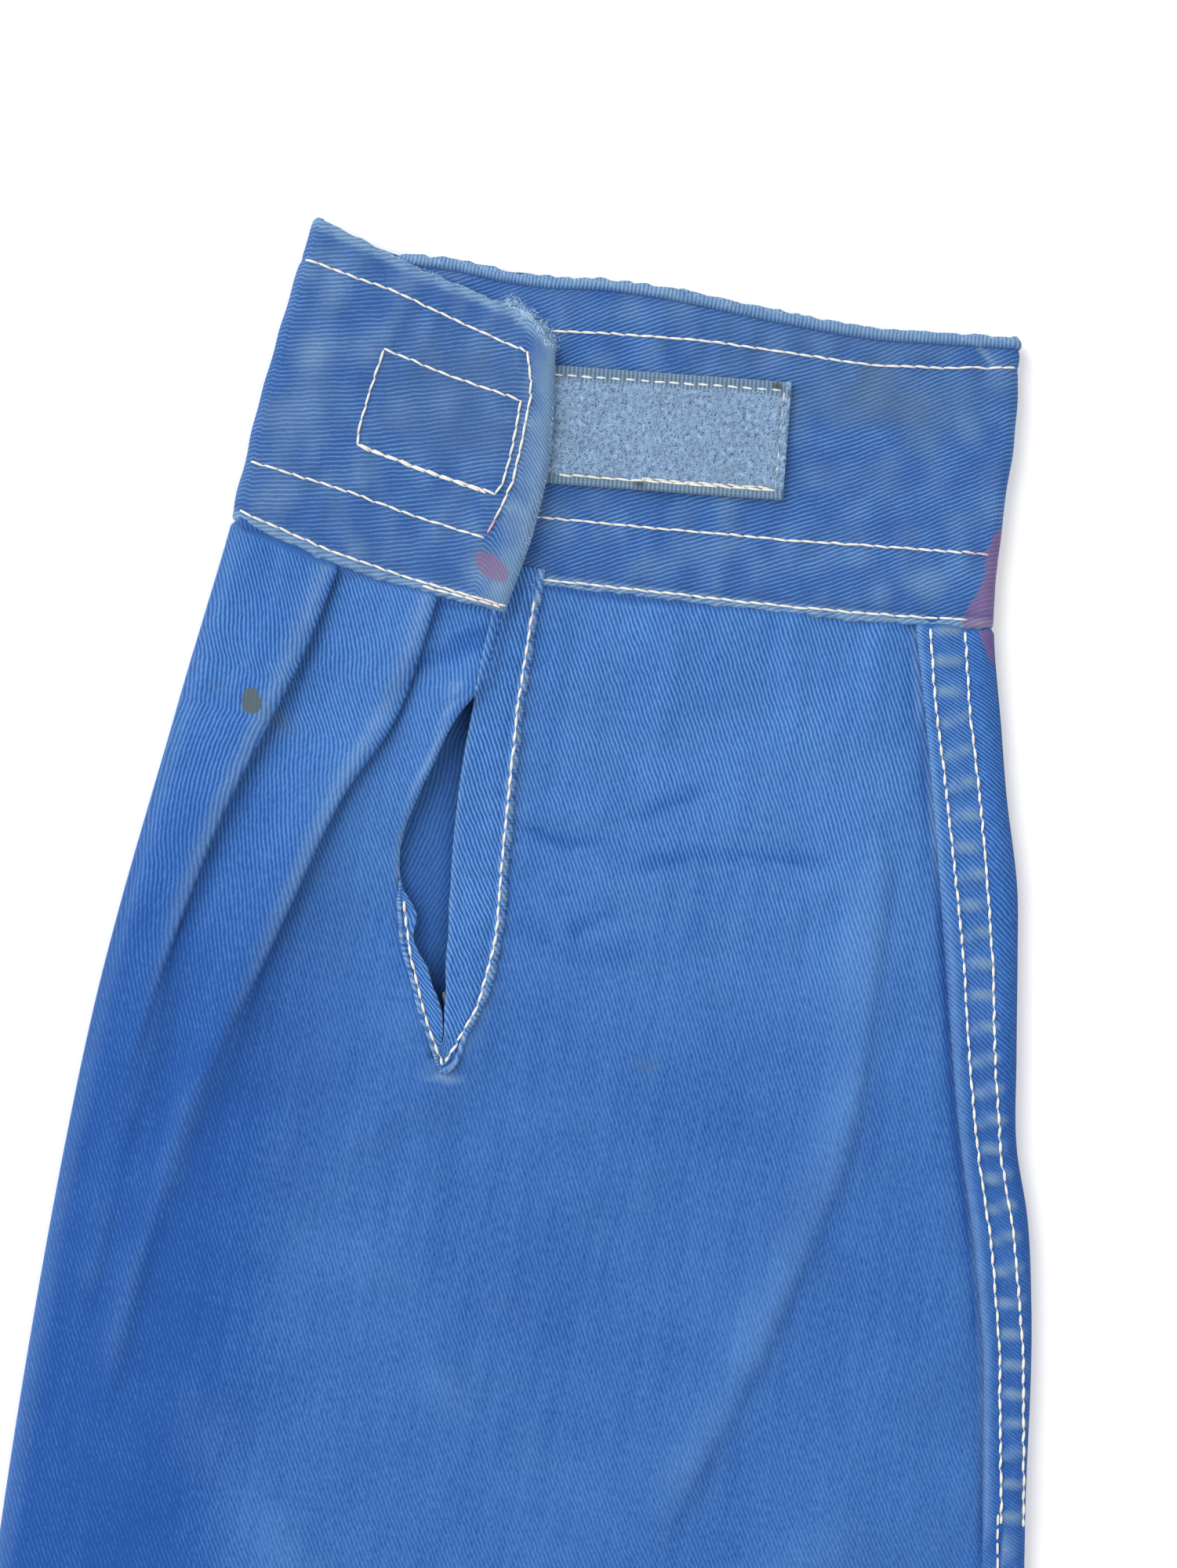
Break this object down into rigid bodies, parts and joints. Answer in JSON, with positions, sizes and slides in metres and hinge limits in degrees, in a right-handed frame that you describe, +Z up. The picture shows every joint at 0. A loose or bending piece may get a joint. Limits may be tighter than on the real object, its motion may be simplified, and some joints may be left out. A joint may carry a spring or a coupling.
{
  "type": "coveralls",
  "caption": "One-piece work garment laid flat, back upwards: bodice, collar, waistband, trouser legs, pleated sleeves with slit openings and lapped cuffs that close with hook-and-loop tape.",
  "frame": {"origin": "on the surface that the garment lies on, under the middle of its box", "axes": "+Z up from the surface, +Y along the garment towards the collar, +X towards the wearer's right sleeve; the back faces up"},
  "size_m": [1.5984, 1.658, 0.0094],
  "materials": {
    "blue_twill": "matte royal blue cotton twill",
    "loop_tape": "matte grey-blue woven hook-and-loop tape"
  },
  "bodies": {
    "root": {"back_bodice": "blue_twill", "collar": "blue_twill", "collar_stand": "blue_twill", "cuff_left": "blue_twill", "cuff_right": "blue_twill", "front_bodice_left": "blue_twill", "front_bodice_right": "blue_twill", "front_hook_tape": "loop_tape", "front_loop_tape": "loop_tape", "front_placket": "blue_twill", "hook_patch_left": "loop_tape", "hook_patch_right": "loop_tape", "leg_back_left": "blue_twill", "leg_back_right": "blue_twill", "leg_front_left": "blue_twill", "leg_front_right": "blue_twill", "loop_patch_left": "loop_tape", "loop_patch_right": "loop_tape", "sleeve_left": "blue_twill", "sleeve_right": "blue_twill", "slit_binding_left": "blue_twill", "slit_binding_right": "blue_twill", "waistband_back": "blue_twill", "waistband_front_left": "blue_twill", "waistband_front_right": "blue_twill"}
  },
  "joints": []
}
